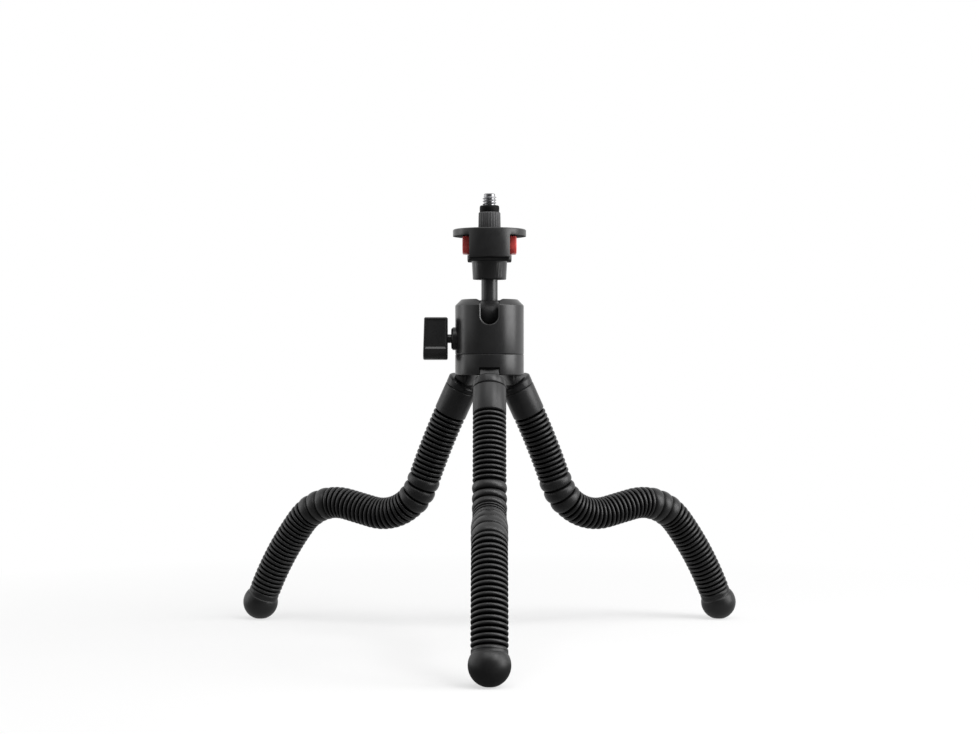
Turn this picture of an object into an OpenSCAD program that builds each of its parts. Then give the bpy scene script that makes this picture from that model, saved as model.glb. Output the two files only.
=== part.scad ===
// Table-top tripod with three bendable ribbed legs, a ball head and a quick release.
// Millimetres, +Z up. The origin is on the ground, under the middle of the three feet.
// One leg points to the front (-Y), one to the rear left and one to the rear right.

/* [Leg path] */
// Distance of each leg's hinge from the axis of the head
hinge_r = 11.1; // [10.5:0.1:11.6]
// Angle of the ferrules from the vertical
leg_spread = 27.5; // [22:0.5:34]
// Length of leg from the ferrule to the elbow
upper_len = 35.3; // [30:0.1:45]
// Slow turn of that length towards the vertical, in degrees
upper_turn = 6; // [2:0.5:9]
// Bend radius of the elbow on the leg's centre line
elbow_r = 25; // [22:0.1:30]
// Turn of the elbow, in degrees
elbow_turn = 80.5; // [65:0.5:88]
// Length of leg between the elbow and the hump
mid_len = 14.7; // [12:0.1:24]
// Bend radius of the hump on the leg's centre line
hump_r = 27.7; // [24:0.1:34]
// Turn of the hump, in degrees
hump_turn = 61.5; // [50:0.5:70]
// Length of leg from the hump to the centre of the foot
lower_len = 48; // [42:0.1:60]
// Slow turn of that length towards the vertical, as far as the foot, in degrees
lower_turn = 16; // [10:0.5:24]

/* [Leg parts] */
// Diameter of the ferrule and of the cap ring above it
ferrule_d = 15; // [13.6:0.1:15.4]
// Length of the plain ferrule
ferrule_len = 13.2; // [10:0.1:18]
// Length of the cap ring between the hinge tongue and the ferrule
cap_ring_len = 3.6; // [3:0.1:5]
// Distance from the hinge to the cap ring
cap_reach = 4.9; // [4.8:0.1:6]
// Width of the hinge tongue
tongue_w = 8.6; // [7:0.1:9.4]
// Half thickness of the tongue, and the radius of its end
tongue_end_r = 3.4; // [3.2:0.1:3.6]
// Diameter over the ribs of the sleeve
sleeve_d = 15; // [13:0.1:16]
// Depth of the grooves between ribs
groove_depth = 0.9; // [0.5:0.1:1.4]
// Length of one regular rib
rib_pitch = 2.35; // [2:0.05:3]
// Length of one of the wide ribs at the bends
wide_pitch = 5.1; // [4:0.1:6]
// Length in which a wide rib rises from its groove
wide_rise = 1.2; // [0.8:0.1:1.6]
// Wide ribs at the start of the elbow, past the one that ends the upper sleeve
elbow_wide_ribs = 2; // [1:1:3]
// Wide ribs on the hump
hump_wide_ribs = 3; // [1:1:4]
// Diameter of the bendable core rod
core_d = 6; // [4:0.1:7]
// Depth to which the core is seated in the ferrule and in the foot
core_seat = 6; // [4:0.1:7]
// Diameter of the ball foot
foot_d = 17; // [15.5:0.1:20]
// Diameter of the foot's skirt
skirt_d = 14.8; // [13:0.1:15.2]
// Distance from the centre of the foot to the top of its skirt
skirt_top = 6.8; // [6:0.1:9]
// Depth of the flat under each foot
foot_flat = 0.45; // [0.2:0.05:0.8]

/* [Hub] */
// Diameter of the hub and of the ball head's housing
hub_d = 31.4; // [30.6:0.1:34]
// Height of the hub
hub_h = 9.5; // [8.5:0.1:12]
// Height of the hinge slots in the side of the hub
slot_h = 3.6; // [3.4:0.1:4.2]
// Height of the hinge pins above the bottom of the hub
pin_lift = 1.6; // [1.4:0.1:1.9]
// Diameter of the hinge pins
pin_d = 1.6; // [1.2:0.1:2]
// Length of pin held in the hub on each side of the tongue
pin_grip = 2.4; // [1.5:0.1:3]
// Height of the threaded spigot that joins the hub to the housing
spigot_h = 2.6; // [2:0.1:3]

/* [Ball head] */
// Height of the housing
head_h = 25.1; // [24:0.1:28]
// Bevel round the top of the housing
head_bevel = 2.8; // [2:0.1:3.4]
// Diameter of the ball
ball_d = 15.5; // [15.2:0.1:16]
// Depth of the ball's centre below the top of the housing
ball_drop = 7.6; // [7.2:0.1:8]
// Diameter of the lip that keeps the ball in
mouth_d = 14.2; // [13.8:0.1:14.4]
// Diameter to which the mouth widens at the top of the housing
mouth_top_d = 18.6; // [18.2:0.1:19.4]
// Diameter of the stem on the ball
stem_d = 7.5; // [6.5:0.1:8]
// Distance from the ball's centre to the shoulder of the stem
stem_reach = 16.8; // [16.4:0.1:20]
// Diameter of the pivot on top of the stem
stem_pivot_d = 5; // [4:0.1:6]
// Height of that pivot
stem_pivot_h = 5.5; // [4:0.1:7]
// Rounding of the two shoulders of the notch
notch_shoulder_r = 2.4; // [1.6:0.1:2.8]
// How much wider the bore below the ball is than the ball's cavity
bore_spare = 0.15; // [0.1:0.05:0.2]
// Height of the seat that carries the ball
ball_seat_h = 8.5; // [8:0.1:9]

/* [Lock] */
// Height of the lock's axis below the ball's centre
lock_drop = 10.3; // [10:0.1:10.8]
// Length of the knob's paddle
knob_len = 19.5; // [15:0.1:22]
// Depth of the paddle along the lock's axis
knob_depth = 11.3; // [9:0.1:14]
// Thickness of the paddle
knob_t = 9; // [6:0.1:10]
// Rounding of the paddle's corners
knob_corner_r = 1; // [0.5:0.1:1.5]
// Diameter of the bush in the housing
bush_d = 10.5; // [9:0.1:11]
// Length of bush that stands out of the housing
bush_out = 1.8; // [1.2:0.1:2.6]
// Gap between the bush and the paddle
knob_gap = 1.6; // [1:0.1:3]
// Wall between the bush and the ball's cavity
bush_wall = 1.5; // [1:0.1:2]
// Diameter of the lock screw
lock_screw_d = 4; // [3:0.1:5]
// How far the cone of the lock screw reaches into the ball seat
lock_tip_in = 1.9; // [1.5:0.1:2.2]
// Radius of the blunt tip of that cone
lock_tip_r = 0.4; // [0.2:0.1:0.6]

/* [Quick release] */
// Diameter of the socket at the stem
socket_d = 15.3; // [13:0.1:16]
// Diameter of the socket at the plate
socket_top_d = 16.2; // [15:0.1:18]
// Height of the socket
socket_h = 8.3; // [7:0.1:10]
// Side of the square plate on the socket
plate_w = 20.1; // [19:0.1:22]
// Rounding of the plate's corners
plate_corner_r = 2; // [1:0.1:3]
// Thickness of that plate
plate_h = 2.4; // [1.8:0.1:3]
// Depth to which the plate is let into the release housing
plate_sink = 1.2; // [0.8:0.1:1.6]
// Diameter of the release housing
release_d = 33.5; // [32:0.1:36]
// Height of the release housing
release_h = 13.3; // [12.6:0.1:15]
// Thickness of the housing's round top flange
flange_h = 3.1; // [2.8:0.1:3.6]
// Width of the housing across its two side flats
flat_w = 18.4; // [18:0.1:20]
// Width of the latch block on the plate
block_w = 13.2; // [12.8:0.1:13.6]
// Length of the latch block
block_len = 16; // [14:0.1:18]
// Height of the latch block
block_h = 6; // [5.4:0.1:6.2]
// Wall of the latch block
block_wall = 1.6; // [1.4:0.1:1.8]
// How far the two latch lips stand in from the block's walls
lip_in = 1.2; // [1:0.1:1.3]
// Thickness of the latch lips
lip_h = 1.5; // [1.2:0.1:1.8]
// Width of a release button
button_w = 13; // [10:0.1:15]
// Height of a release button
button_h = 8.1; // [7.6:0.1:8.2]
// How far a button stands out of the housing's flat
button_out = 3.15; // [2.6:0.05:4]
// Rounding of the lower corners of a button
button_corner_r = 4; // [2:0.1:4]
// Travel of a button
button_travel = 1.4; // [1.2:0.1:1.5]
// Width of a button's latch arm
latch_w = 6; // [4:0.1:8]
// Thickness of a button's latch arm and jaw
latch_t = 1.5; // [1.3:0.1:1.5]
// Height of the hook at the foot of a jaw
hook_h = 1.2; // [1:0.1:1.4]
// Diameter of the return spring between the jaws
spring_d = 2.6; // [2:0.1:3]

/* [Camera screw] */
// Diameter of the fluted ring at its foot
ring_d = 10.3; // [9.6:0.1:12]
// Diameter of the fluted ring at its top
ring_top_d = 10; // [9.4:0.1:11]
// Height of the fluted ring
ring_h = 8; // [6:0.1:10]
// Number of flutes
flute_count = 24; // [12:1:30]
// Depth of a flute
flute_depth = 0.35; // [0.2:0.05:0.45]
// Diameter of the rubber seat
seat_d = 9; // [8:0.1:10]
// Height of the rubber seat
seat_h = 3; // [2:0.1:4]
// Diameter of the threaded stud
stud_d = 6.35; // [5:0.05:6.5]
// Length of stud above the seat
stud_len = 5.5; // [4:0.1:7]
// Diameter of the flange that keeps the screw in the housing
screw_head_d = 9.2; // [8:0.1:10]
// Thickness of that flange
screw_head_h = 0.8; // [0.6:0.1:1]

/* [Fits] */
// Radial clearance of pins and shafts that turn
run_gap = 0.05; // [0.03:0.01:0.08]
// Clearance of pieces that are pressed, screwed or glued together
fixed_gap = 0.02; // [0.01:0.01:0.05]
// Clearance round the ball, the stem and the hinge tongues
swing_gap = 0.3; // [0.25:0.05:0.4]
// Clearance of the sliding buttons
slide_gap = 0.15; // [0.1:0.05:0.2]
// Clearance of the core in the bore of the sleeve
sleeve_gap = 0.35; // [0.3:0.05:0.5]
// Small bevel on moulded edges
edge_bevel = 0.4; // [0.2:0.1:0.6]

/* [Hidden] */
$fn = 72;
overcut = 1;
legs = ["front", "left", "right"];
leg_azimuth = [-90, 150, 30];
zones = ["upper", "elbow", "mid", "hump", "lower"];

// The leg's centre line in its own upright plane: lengths and turns of its five zones and of the foot
elbow_len = elbow_r * elbow_turn * PI / 180;
hump_len = hump_r * hump_turn * PI / 180;
zone_len = [upper_len, elbow_len, mid_len, hump_len, lower_len - skirt_top, skirt_top];
zone_turn = [-upper_turn, elbow_turn, 0, -hump_turn, -lower_turn, 0];
spread_heading = leg_spread - 90;
leg_len = upper_len + elbow_len + mid_len + hump_len + lower_len;

function heading_at(i) = i == 0 ? spread_heading : heading_at(i - 1) + zone_turn[i - 1];

// Move along a line or an arc that starts with this heading
function arc_move(heading, length, turn) =
    turn == 0
    ? length * [cos(heading), sin(heading)]
    : length * 180 / (PI * turn)
      * [sin(heading + turn) - sin(heading), cos(heading) - cos(heading + turn)];

function zone_start(i) =
    i == 0
    ? [0, 0]
    : zone_start(i - 1) + arc_move(heading_at(i - 1), zone_len[i - 1], zone_turn[i - 1]);

ferrule_end = cap_reach + cap_ring_len + ferrule_len;
ferrule_dir = [cos(spread_heading), sin(spread_heading)];
foot_r = foot_d / 2;
foot_z = foot_r - foot_flat;
leg_drop = ferrule_end * ferrule_dir + zone_start(6);
hinge_z = foot_z - leg_drop[1];
stance_r = hinge_r + leg_drop[0];
hinge_at = [hinge_r, hinge_z];
path_start = hinge_at + ferrule_end * ferrule_dir;

// Point of the centre line at a distance along it, with the heading there
function path(s, i = 0) =
    i < 5 && s > zone_len[i]
    ? path(s - zone_len[i], i + 1)
    : let (turn = zone_turn[i] * s / zone_len[i])
      [path_start + zone_start(i) + arc_move(heading_at(i), s, turn), heading_at(i) + turn];

// Where the sleeve is divided: the bending lengths end a little past their arcs, and the wide ribs lie
// a little past the start of the elbow and past the middle of the hump
bend_margin = 1;
wide_shift = 2.3;
elbow_from = upper_len + wide_shift;
elbow_to = upper_len + elbow_len + bend_margin / 2;
hump_from = upper_len + elbow_len + mid_len - bend_margin;
hump_to = upper_len + elbow_len + mid_len + hump_len + bend_margin;
sleeve_to = leg_len - skirt_top;
elbow_wide_to = elbow_from + elbow_wide_ribs * wide_pitch;
hump_wide_len = hump_wide_ribs * wide_pitch;
hump_wide_from = (hump_from + hump_to - hump_wide_len) / 2 + wide_shift;
// Runs of ribs in each sleeve: start, end, rib length
rib_runs = [
    [[0, elbow_from - wide_pitch, rib_pitch], [elbow_from - wide_pitch, elbow_from, wide_pitch]],
    [[elbow_from, elbow_wide_to, wide_pitch], [elbow_wide_to, elbow_to, rib_pitch]],
    [[elbow_to, hump_from, rib_pitch]],
    [
        [hump_from, hump_wide_from, rib_pitch],
        [hump_wide_from, hump_wide_from + hump_wide_len, wide_pitch],
        [hump_wide_from + hump_wide_len, hump_to, rib_pitch],
    ],
    [[hump_to, sleeve_to, rib_pitch]],
];
sleeve_sides = 10;
crest_r = sleeve_d / 2;
groove_r = crest_r - groove_depth;
bore_r = core_d / 2 + sleeve_gap;
crimp_d = core_d + sleeve_gap;
crimp_out = 1.5;
bore_step = 8;

// Rings of one run as [distance, radius]: a regular rib has one crest, a wide rib a flat one
function run_rings(run) =
    let (count = max(1, round((run[1] - run[0]) / run[2])), step = (run[1] - run[0]) / count)
    [
        for (k = [0:count - 1])
            let (s = run[0] + k * step)
            each run[2] == wide_pitch
                ? [[s, groove_r], [s + wide_rise, crest_r], [s + step - wide_rise, crest_r]]
                : [[s, groove_r], [s + step / 2, crest_r]],
    ];

function outer_rings(runs) =
    concat([for (run = runs) each run_rings(run)], [[runs[len(runs) - 1][1], groove_r]]);

function bore_rings(from, to) =
    let (count = ceil((to - from) / bore_step))
    [for (k = [0:count]) [to + (from - to) * k / count, bore_r / cos(180 / sleeve_sides)]];

function ring_points(s, r) =
    let (at = path(s), p = at[0], n = [-sin(at[1]), cos(at[1])])
    [
        for (k = [0:sleeve_sides - 1])
            let (a = 360 * k / sleeve_sides)
            [p[0] + r * cos(a) * n[0], r * sin(a), p[1] + r * cos(a) * n[1]],
    ];

// Heights of the hub and of the head on it
hub_r = hub_d / 2;
hub_bottom = hinge_z - pin_lift;
hub_top = hub_bottom + hub_h;
head_top = hub_top + head_h;
ball_z = head_top - ball_drop;
ball_r = ball_d / 2;
cavity_r = ball_r + swing_gap;
body_bore_r = cavity_r + bore_spare;
lip_rise = sqrt(pow(cavity_r, 2) - pow(mouth_d / 2, 2));
mouth_flare = (mouth_top_d - mouth_d) / (ball_drop - lip_rise);
slot_w = tongue_w + 2 * swing_gap;
stem_top = ball_z + stem_reach;
notch_w = stem_d + 2 * swing_gap;
lock_z = ball_z - lock_drop;
bush_seat_x = cavity_r + bush_wall;
bush_face_x = hub_r + bush_out;
knob_face_x = bush_face_x + knob_gap;
lock_tip_x = body_bore_r - lock_tip_in;

// Heights and places in the quick release
plate_bottom = stem_top + socket_h;
plate_top = plate_bottom + plate_h;
release_bottom = plate_top - plate_sink;
release_top = release_bottom + release_h;
flange_bottom = release_top - flange_h;
block_top = plate_top + block_h;
lip_edge = block_w / 2 - block_wall - lip_in;
jaw_outer = lip_edge - swing_gap;
jaw_inner = jaw_outer - latch_t;
release_spare = 0.5;
hook_edge = lip_edge + button_travel - release_spare;
arm_bottom = block_top + swing_gap;
arm_top = arm_bottom + latch_t;
latch_roof = arm_top + swing_gap;
button_seat_x = flat_w / 2 - swing_gap;
button_face_x = flat_w / 2 + button_out;
button_top = flange_bottom - slide_gap - fixed_gap;
button_bottom = button_top - button_h;
spring_z = block_top - lip_h - spring_d;

// Heights of the camera screw
screw_head_bottom = latch_roof + swing_gap;
screw_head_top = screw_head_bottom + screw_head_h;
ring_top = release_top + ring_h;
seat_top = ring_top + seat_h;
stud_r = stud_d / 2;
relief_h = 0.5;

function leg_nodes(leg) =
    concat(
        [str(leg, "_leg_cap"), str(leg, "_leg_ferrule"), str(leg, "_leg_foot")],
        [for (zone = zones) str(leg, "_leg_", zone, "_sleeve")],
        [for (zone = zones) str(leg, "_leg_", zone, "_core")]
    );

black_rubber = "#1b1b1c";
black_plastic = "#242426";
dark_metal = "#3a3a3d";
red_plastic = "#c0282c";

// Places its children, made about the head's axis, in the frame of the three feet
module on_axis() {
    translate([0, stance_r / 4, 0]) children();
}

// Places one leg's children, made in the XZ plane, at that leg's bearing
module on_leg(leg) {
    on_axis() rotate([0, 0, leg_azimuth[leg]]) children();
}

// Places children that point along +Z on a leg's centre line
module along_leg(point, heading) {
    translate([point[0], 0, point[1]]) rotate([0, 90 - heading, 0]) children();
}

module turned(points) {
    rotate_extrude() polygon(points);
}

// Cylinder along +X from one x to another
module shaft_x(from, to, r) {
    translate([from, 0, 0]) rotate([0, 90, 0]) cylinder(r = r, h = to - from);
}

module rounded_square(w, h, r) {
    square([w - 2 * r, h], center = true);
    square([w, h - 2 * r], center = true);
    for (x = [-1, 1], y = [-1, 1]) translate([x * (w / 2 - r), y * (h / 2 - r)]) circle(r);
}

module hub() {
    pocket_r = tongue_end_r + swing_gap;
    slot_from = hinge_r - pocket_r - swing_gap;
    color(black_plastic) on_axis() difference() {
        union() {
            turned([
                [0, hub_bottom],
                [hub_r - edge_bevel, hub_bottom],
                [hub_r, hub_bottom + edge_bevel],
                [hub_r, hub_top - edge_bevel / 2],
                [hub_r - edge_bevel / 2, hub_top],
                [0, hub_top],
            ]);
            translate([0, 0, hub_top - overcut])
                cylinder(r = body_bore_r - fixed_gap, h = spigot_h + overcut);
        }
        for (azimuth = leg_azimuth) rotate([0, 0, azimuth]) {
            translate([slot_from, -slot_w / 2, hub_bottom - overcut])
                cube([hub_d, slot_w, slot_h + overcut]);
            translate([hinge_r, 0, hinge_z]) rotate([90, 0, 0]) {
                cylinder(r = pocket_r, h = slot_w, center = true);
                cylinder(r = pin_d / 2 + fixed_gap, h = slot_w + 2 * pin_grip, center = true);
            }
        }
    }
}

module leg_hinge_pins() {
    color(dark_metal) on_axis() for (azimuth = leg_azimuth) rotate([0, 0, azimuth])
        translate([hinge_r, 0, hinge_z]) rotate([90, 0, 0])
            cylinder(d = pin_d, h = slot_w + 2 * pin_grip - 2 * fixed_gap, center = true);
}

// Outline of the notch in the front of the housing, with z up and the ball's centre at the origin
module notch_outline() {
    top = head_top - ball_z;
    circle(d = notch_w);
    translate([-notch_w / 2, 0]) square([notch_w, top + overcut]);
    for (side = [-1, 1]) scale([side, 1]) difference() {
        translate([notch_w / 2 - fixed_gap, top - notch_shoulder_r])
            square([notch_shoulder_r + fixed_gap, notch_shoulder_r + overcut]);
        translate([notch_w / 2 + notch_shoulder_r, top - notch_shoulder_r]) circle(notch_shoulder_r);
    }
}

module head_housing() {
    notch_from = cavity_r / 3;
    color(black_plastic) on_axis() difference() {
        turned([
            [0, hub_top],
            [hub_r - edge_bevel / 2, hub_top],
            [hub_r, hub_top + edge_bevel / 2],
            [hub_r, head_top - head_bevel],
            [hub_r - head_bevel, head_top],
            [0, head_top],
        ]);
        translate([0, 0, ball_z]) sphere(cavity_r);
        translate([0, 0, hub_top - overcut]) cylinder(r = body_bore_r, h = ball_z - hub_top + overcut);
        translate([0, 0, ball_z + lip_rise - overcut]) cylinder(
            d1 = mouth_d - overcut * mouth_flare,
            d2 = mouth_top_d + overcut * mouth_flare,
            h = ball_drop - lip_rise + 2 * overcut
        );
        translate([0, -notch_from, ball_z]) rotate([90, 0, 0]) linear_extrude(hub_d) notch_outline();
        translate([0, 0, lock_z]) {
            shaft_x(-hub_d, -bush_seat_x, bush_d / 2 + fixed_gap);
            shaft_x(-hub_d, -cavity_r / 2, lock_screw_d / 2 + swing_gap);
        }
    }
}

module ball_seat() {
    seat_r = body_bore_r - run_gap;
    seat_bottom = hub_top + spigot_h;
    pocket_r = lock_screw_d / 2 + swing_gap;
    pocket_end = lock_tip_x - 2 * swing_gap;
    cone_from = seat_r - swing_gap;
    color("#d8d6d0") on_axis() difference() {
        translate([0, 0, seat_bottom]) cylinder(r = seat_r, h = ball_seat_h);
        translate([0, 0, ball_z]) sphere(cavity_r);
        translate([0, 0, lock_z]) {
            shaft_x(-seat_r - overcut, -cone_from, pocket_r);
            translate([-cone_from, 0, 0]) rotate([0, 90, 0])
                cylinder(r1 = pocket_r, r2 = lock_tip_r, h = cone_from - pocket_end);
        }
    }
}

module ball() {
    color(dark_metal) on_axis() translate([0, 0, ball_z]) sphere(ball_r);
}

module stem() {
    color(dark_metal) on_axis() difference() {
        union() {
            translate([0, 0, ball_z + ball_r / 2]) cylinder(d = stem_d, h = stem_reach - ball_r / 2);
            translate([0, 0, stem_top - overcut])
                cylinder(d = stem_pivot_d, h = stem_pivot_h + overcut);
        }
        translate([0, 0, ball_z]) sphere(ball_r + run_gap);
    }
}

module lock_bush() {
    color(black_plastic) on_axis() translate([0, 0, lock_z]) rotate([0, -90, 0]) difference() {
        turned([
            [0, bush_seat_x],
            [bush_d / 2, bush_seat_x],
            [bush_d / 2, bush_face_x - 2 * edge_bevel],
            [bush_d / 2 - 2 * edge_bevel, bush_face_x],
            [0, bush_face_x],
        ]);
        translate([0, 0, bush_seat_x - overcut])
            cylinder(d = lock_screw_d + 2 * run_gap, h = bush_face_x - bush_seat_x + 2 * overcut);
    }
}

module lock_screw() {
    screw_r = lock_screw_d / 2;
    cone_x = body_bore_r + run_gap;
    color(dark_metal) on_axis() translate([0, 0, lock_z]) rotate([0, -90, 0])
        turned([
            [0, lock_tip_x],
            [lock_tip_r, lock_tip_x],
            [screw_r, cone_x],
            [screw_r, knob_face_x + knob_depth / 2],
            [0, knob_face_x + knob_depth / 2],
        ]);
}

// Seen along the lock's axis, the paddle is round at its lower end and square at its upper end
module lock_knob() {
    paddle_mid = -knob_face_x - knob_depth / 2;
    screw_r = lock_screw_d / 2;
    color(black_plastic) on_axis() translate([0, 0, lock_z]) difference() {
        intersection() {
            translate([paddle_mid - knob_depth, 0, 0]) rotate([90, 0, 90]) linear_extrude(2 * knob_depth) {
                translate([0, knob_t / 4]) rounded_square(knob_t, knob_len - knob_t / 2, knob_corner_r);
                translate([-knob_t / 2, (knob_t - knob_len) / 2]) square([knob_t, knob_t]);
                translate([0, (knob_t - knob_len) / 2]) circle(d = knob_t);
            }
            translate([paddle_mid, knob_t, 0]) rotate([90, 0, 0]) linear_extrude(2 * knob_t)
                rounded_square(knob_depth, knob_len, knob_corner_r);
        }
        shaft_x(-knob_face_x - knob_depth / 2 - fixed_gap, 0, screw_r + fixed_gap);
    }
}

module release_base() {
    cavity_w = block_w - 2 * block_wall;
    cavity_len = block_len - 2 * block_wall;
    color(black_plastic) on_axis() difference() {
        union() {
            translate([0, 0, stem_top + fixed_gap])
                cylinder(d1 = socket_d, d2 = socket_top_d, h = socket_h - fixed_gap);
            translate([0, 0, plate_bottom]) linear_extrude(plate_h) rounded_square(plate_w, plate_w, plate_corner_r);
            translate([-block_w / 2, -block_len / 2, plate_top - overcut])
                cube([block_w, block_len, block_h + overcut]);
        }
        translate([0, 0, stem_top - overcut])
            cylinder(d = stem_pivot_d + 2 * run_gap, h = stem_pivot_h + overcut + swing_gap);
        translate([-cavity_w / 2, -cavity_len / 2, plate_top])
            cube([cavity_w, cavity_len, block_h - lip_h]);
        translate([-lip_edge, -cavity_len / 2, plate_top]) cube([2 * lip_edge, cavity_len, block_h + overcut]);
    }
}

// Outline of a button's face, seen from its side of the housing, grown by a clearance
module button_outline(grow) {
    w = button_w + 2 * grow;
    h = button_h + 2 * grow;
    translate([0, (button_top + button_bottom) / 2]) {
        square([w - 2 * button_corner_r, h], center = true);
        translate([-w / 2, button_corner_r - h / 2]) square([w, h - button_corner_r]);
        for (side = [-1, 1]) translate([side * (w / 2 - button_corner_r), button_corner_r - h / 2])
            circle(button_corner_r);
    }
}

module release_housing() {
    release_r = release_d / 2;
    cavity_w = block_w + 2 * swing_gap;
    cavity_len = block_len + 2 * swing_gap;
    color(black_plastic) on_axis() difference() {
        turned([
            [0, release_bottom],
            [release_r - edge_bevel, release_bottom],
            [release_r, release_bottom + edge_bevel],
            [release_r, release_top - edge_bevel],
            [release_r - edge_bevel, release_top],
            [0, release_top],
        ]);
        for (side = [-1, 1]) scale([side, 1, 1]) {
            translate([flat_w / 2, -release_d, release_bottom - overcut])
                cube([release_d, 2 * release_d, release_h - flange_h + overcut]);
            rotate([90, 0, 90]) translate([0, 0, block_w / 2]) linear_extrude(release_d)
                button_outline(slide_gap);
        }
        translate([0, 0, release_bottom - overcut]) linear_extrude(plate_sink + overcut)
            rounded_square(plate_w + 2 * slide_gap, plate_w + 2 * slide_gap, plate_corner_r);
        translate([-cavity_w / 2, -cavity_len / 2, release_bottom])
            cube([cavity_w, cavity_len, latch_roof - release_bottom]);
        translate([0, 0, latch_roof - overcut])
            cylinder(d = screw_head_d + 2 * swing_gap, h = screw_head_top - latch_roof + overcut + fixed_gap);
        translate([0, 0, latch_roof]) cylinder(r = stud_r + run_gap, h = release_top - latch_roof + overcut);
    }
}

// A button with its latch: the arm runs over the block's wall, and the hook lies under the lip
module release_button() {
    jaw_bottom = block_top - lip_h - swing_gap - hook_h;
    rotate([90, 0, 90]) translate([0, 0, button_seat_x]) linear_extrude(button_face_x - button_seat_x)
        button_outline(0);
    translate([jaw_inner, -latch_w / 2, arm_bottom]) cube([button_seat_x - jaw_inner + overcut, latch_w, latch_t]);
    translate([jaw_inner, -latch_w / 2, jaw_bottom]) cube([latch_t, latch_w, arm_top - jaw_bottom]);
    translate([jaw_inner, -latch_w / 2, jaw_bottom]) cube([hook_edge - jaw_inner, latch_w, hook_h]);
}

module right_release_button() {
    color(red_plastic) on_axis() release_button();
}

module left_release_button() {
    color(red_plastic) on_axis() rotate([0, 0, 180]) release_button();
}

module release_spring() {
    spring_half = jaw_inner - fixed_gap;
    color(dark_metal) on_axis() translate([0, 0, spring_z]) difference() {
        shaft_x(-spring_half, spring_half, spring_d / 2);
        shaft_x(-spring_half - overcut, spring_half + overcut, spring_d / 4);
    }
}

module camera_screw() {
    stud_top = seat_top + stud_len;
    point = 2 * edge_bevel;
    color(dark_metal) on_axis() turned([
        [0, screw_head_bottom],
        [screw_head_d / 2, screw_head_bottom],
        [screw_head_d / 2, screw_head_top],
        [stud_r, screw_head_top],
        [stud_r, seat_top - relief_h],
        [stud_r - relief_h, seat_top - relief_h],
        [stud_r - relief_h, seat_top],
        [stud_r, seat_top],
        [stud_r, stud_top - point],
        [stud_r - point, stud_top],
        [0, stud_top],
    ]);
}

module screw_ring() {
    color(dark_metal) on_axis() difference() {
        intersection() {
            translate([0, 0, release_top]) linear_extrude(ring_h) difference() {
                circle(d = ring_d);
                for (k = [0:flute_count - 1]) rotate(360 * k / flute_count)
                    translate([ring_d / 2, 0]) circle(flute_depth, $fn = 16);
            }
            translate([0, 0, release_top + fixed_gap])
                cylinder(d1 = ring_d + flute_depth, d2 = ring_top_d, h = ring_h - fixed_gap);
        }
        translate([0, 0, release_top - overcut]) cylinder(r = stud_r + fixed_gap, h = ring_h + 2 * overcut);
    }
}

module seat_pad() {
    color(black_rubber) on_axis() difference() {
        translate([0, 0, ring_top]) cylinder(d = seat_d, h = seat_h);
        translate([0, 0, ring_top - overcut]) cylinder(r = stud_r + fixed_gap, h = seat_h + 2 * overcut);
    }
}

// Hinge tongue and ring, made along +Z from the hinge to the ferrule
module leg_cap(leg) {
    cap_r = ferrule_d / 2;
    ring_end = cap_reach + cap_ring_len;
    color(dark_metal) on_leg(leg) along_leg(hinge_at, spread_heading) difference() {
        union() {
            turned([
                [0, cap_reach],
                [cap_r - 2 * edge_bevel, cap_reach],
                [cap_r, cap_reach + 2 * edge_bevel],
                [cap_r, ring_end - edge_bevel],
                [cap_r - edge_bevel, ring_end],
                [0, ring_end],
            ]);
            translate([-tongue_end_r, -tongue_w / 2, 0])
                cube([2 * tongue_end_r, tongue_w, cap_reach + edge_bevel]);
            rotate([90, 0, 0]) cylinder(r = tongue_end_r, h = tongue_w, center = true);
        }
        rotate([90, 0, 0]) cylinder(r = pin_d / 2 + run_gap, h = tongue_w + 2 * overcut, center = true);
    }
}

module leg_ferrule(leg) {
    ferrule_r = ferrule_d / 2;
    top = cap_reach + cap_ring_len;
    color(black_plastic) on_leg(leg) along_leg(hinge_at, spread_heading) difference() {
        turned([
            [0, top],
            [ferrule_r - edge_bevel, top],
            [ferrule_r, top + edge_bevel],
            [ferrule_r, ferrule_end - edge_bevel],
            [ferrule_r - edge_bevel, ferrule_end],
            [0, ferrule_end],
        ]);
        translate([0, 0, ferrule_end - core_seat])
            cylinder(d = crimp_d + 2 * fixed_gap, h = core_seat + overcut);
    }
}

// Ball foot with its skirt, cut flat where it stands
module leg_foot(leg) {
    at = path(leg_len);
    color(black_rubber) on_leg(leg) difference() {
        along_leg(at[0], at[1] + 180) difference() {
            union() {
                sphere(foot_r);
                turned([
                    [0, 0],
                    [skirt_d / 2, 0],
                    [skirt_d / 2, skirt_top - 2 * edge_bevel],
                    [skirt_d / 2 - 2 * edge_bevel, skirt_top],
                    [0, skirt_top],
                ]);
            }
            translate([0, 0, skirt_top]) cylinder(r = foot_r, h = foot_r);
            translate([0, 0, skirt_top - core_seat])
                cylinder(d = crimp_d + 2 * fixed_gap, h = core_seat + overcut);
        }
        translate([stance_r, 0, -foot_d]) cube([2 * foot_d, 2 * foot_d, 2 * foot_d], center = true);
    }
}

// A straight length of the ribbed sleeve
module straight_sleeve(zone) {
    rings = outer_rings(rib_runs[zone]);
    from = rings[0][0];
    to = rings[len(rings) - 1][0];
    at = path(from);
    along_leg(at[0], at[1]) turned(concat(
        [for (ring = rings) [ring[1], ring[0] - from]],
        [[bore_r, to - from], [bore_r, 0]]
    ));
}

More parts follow.
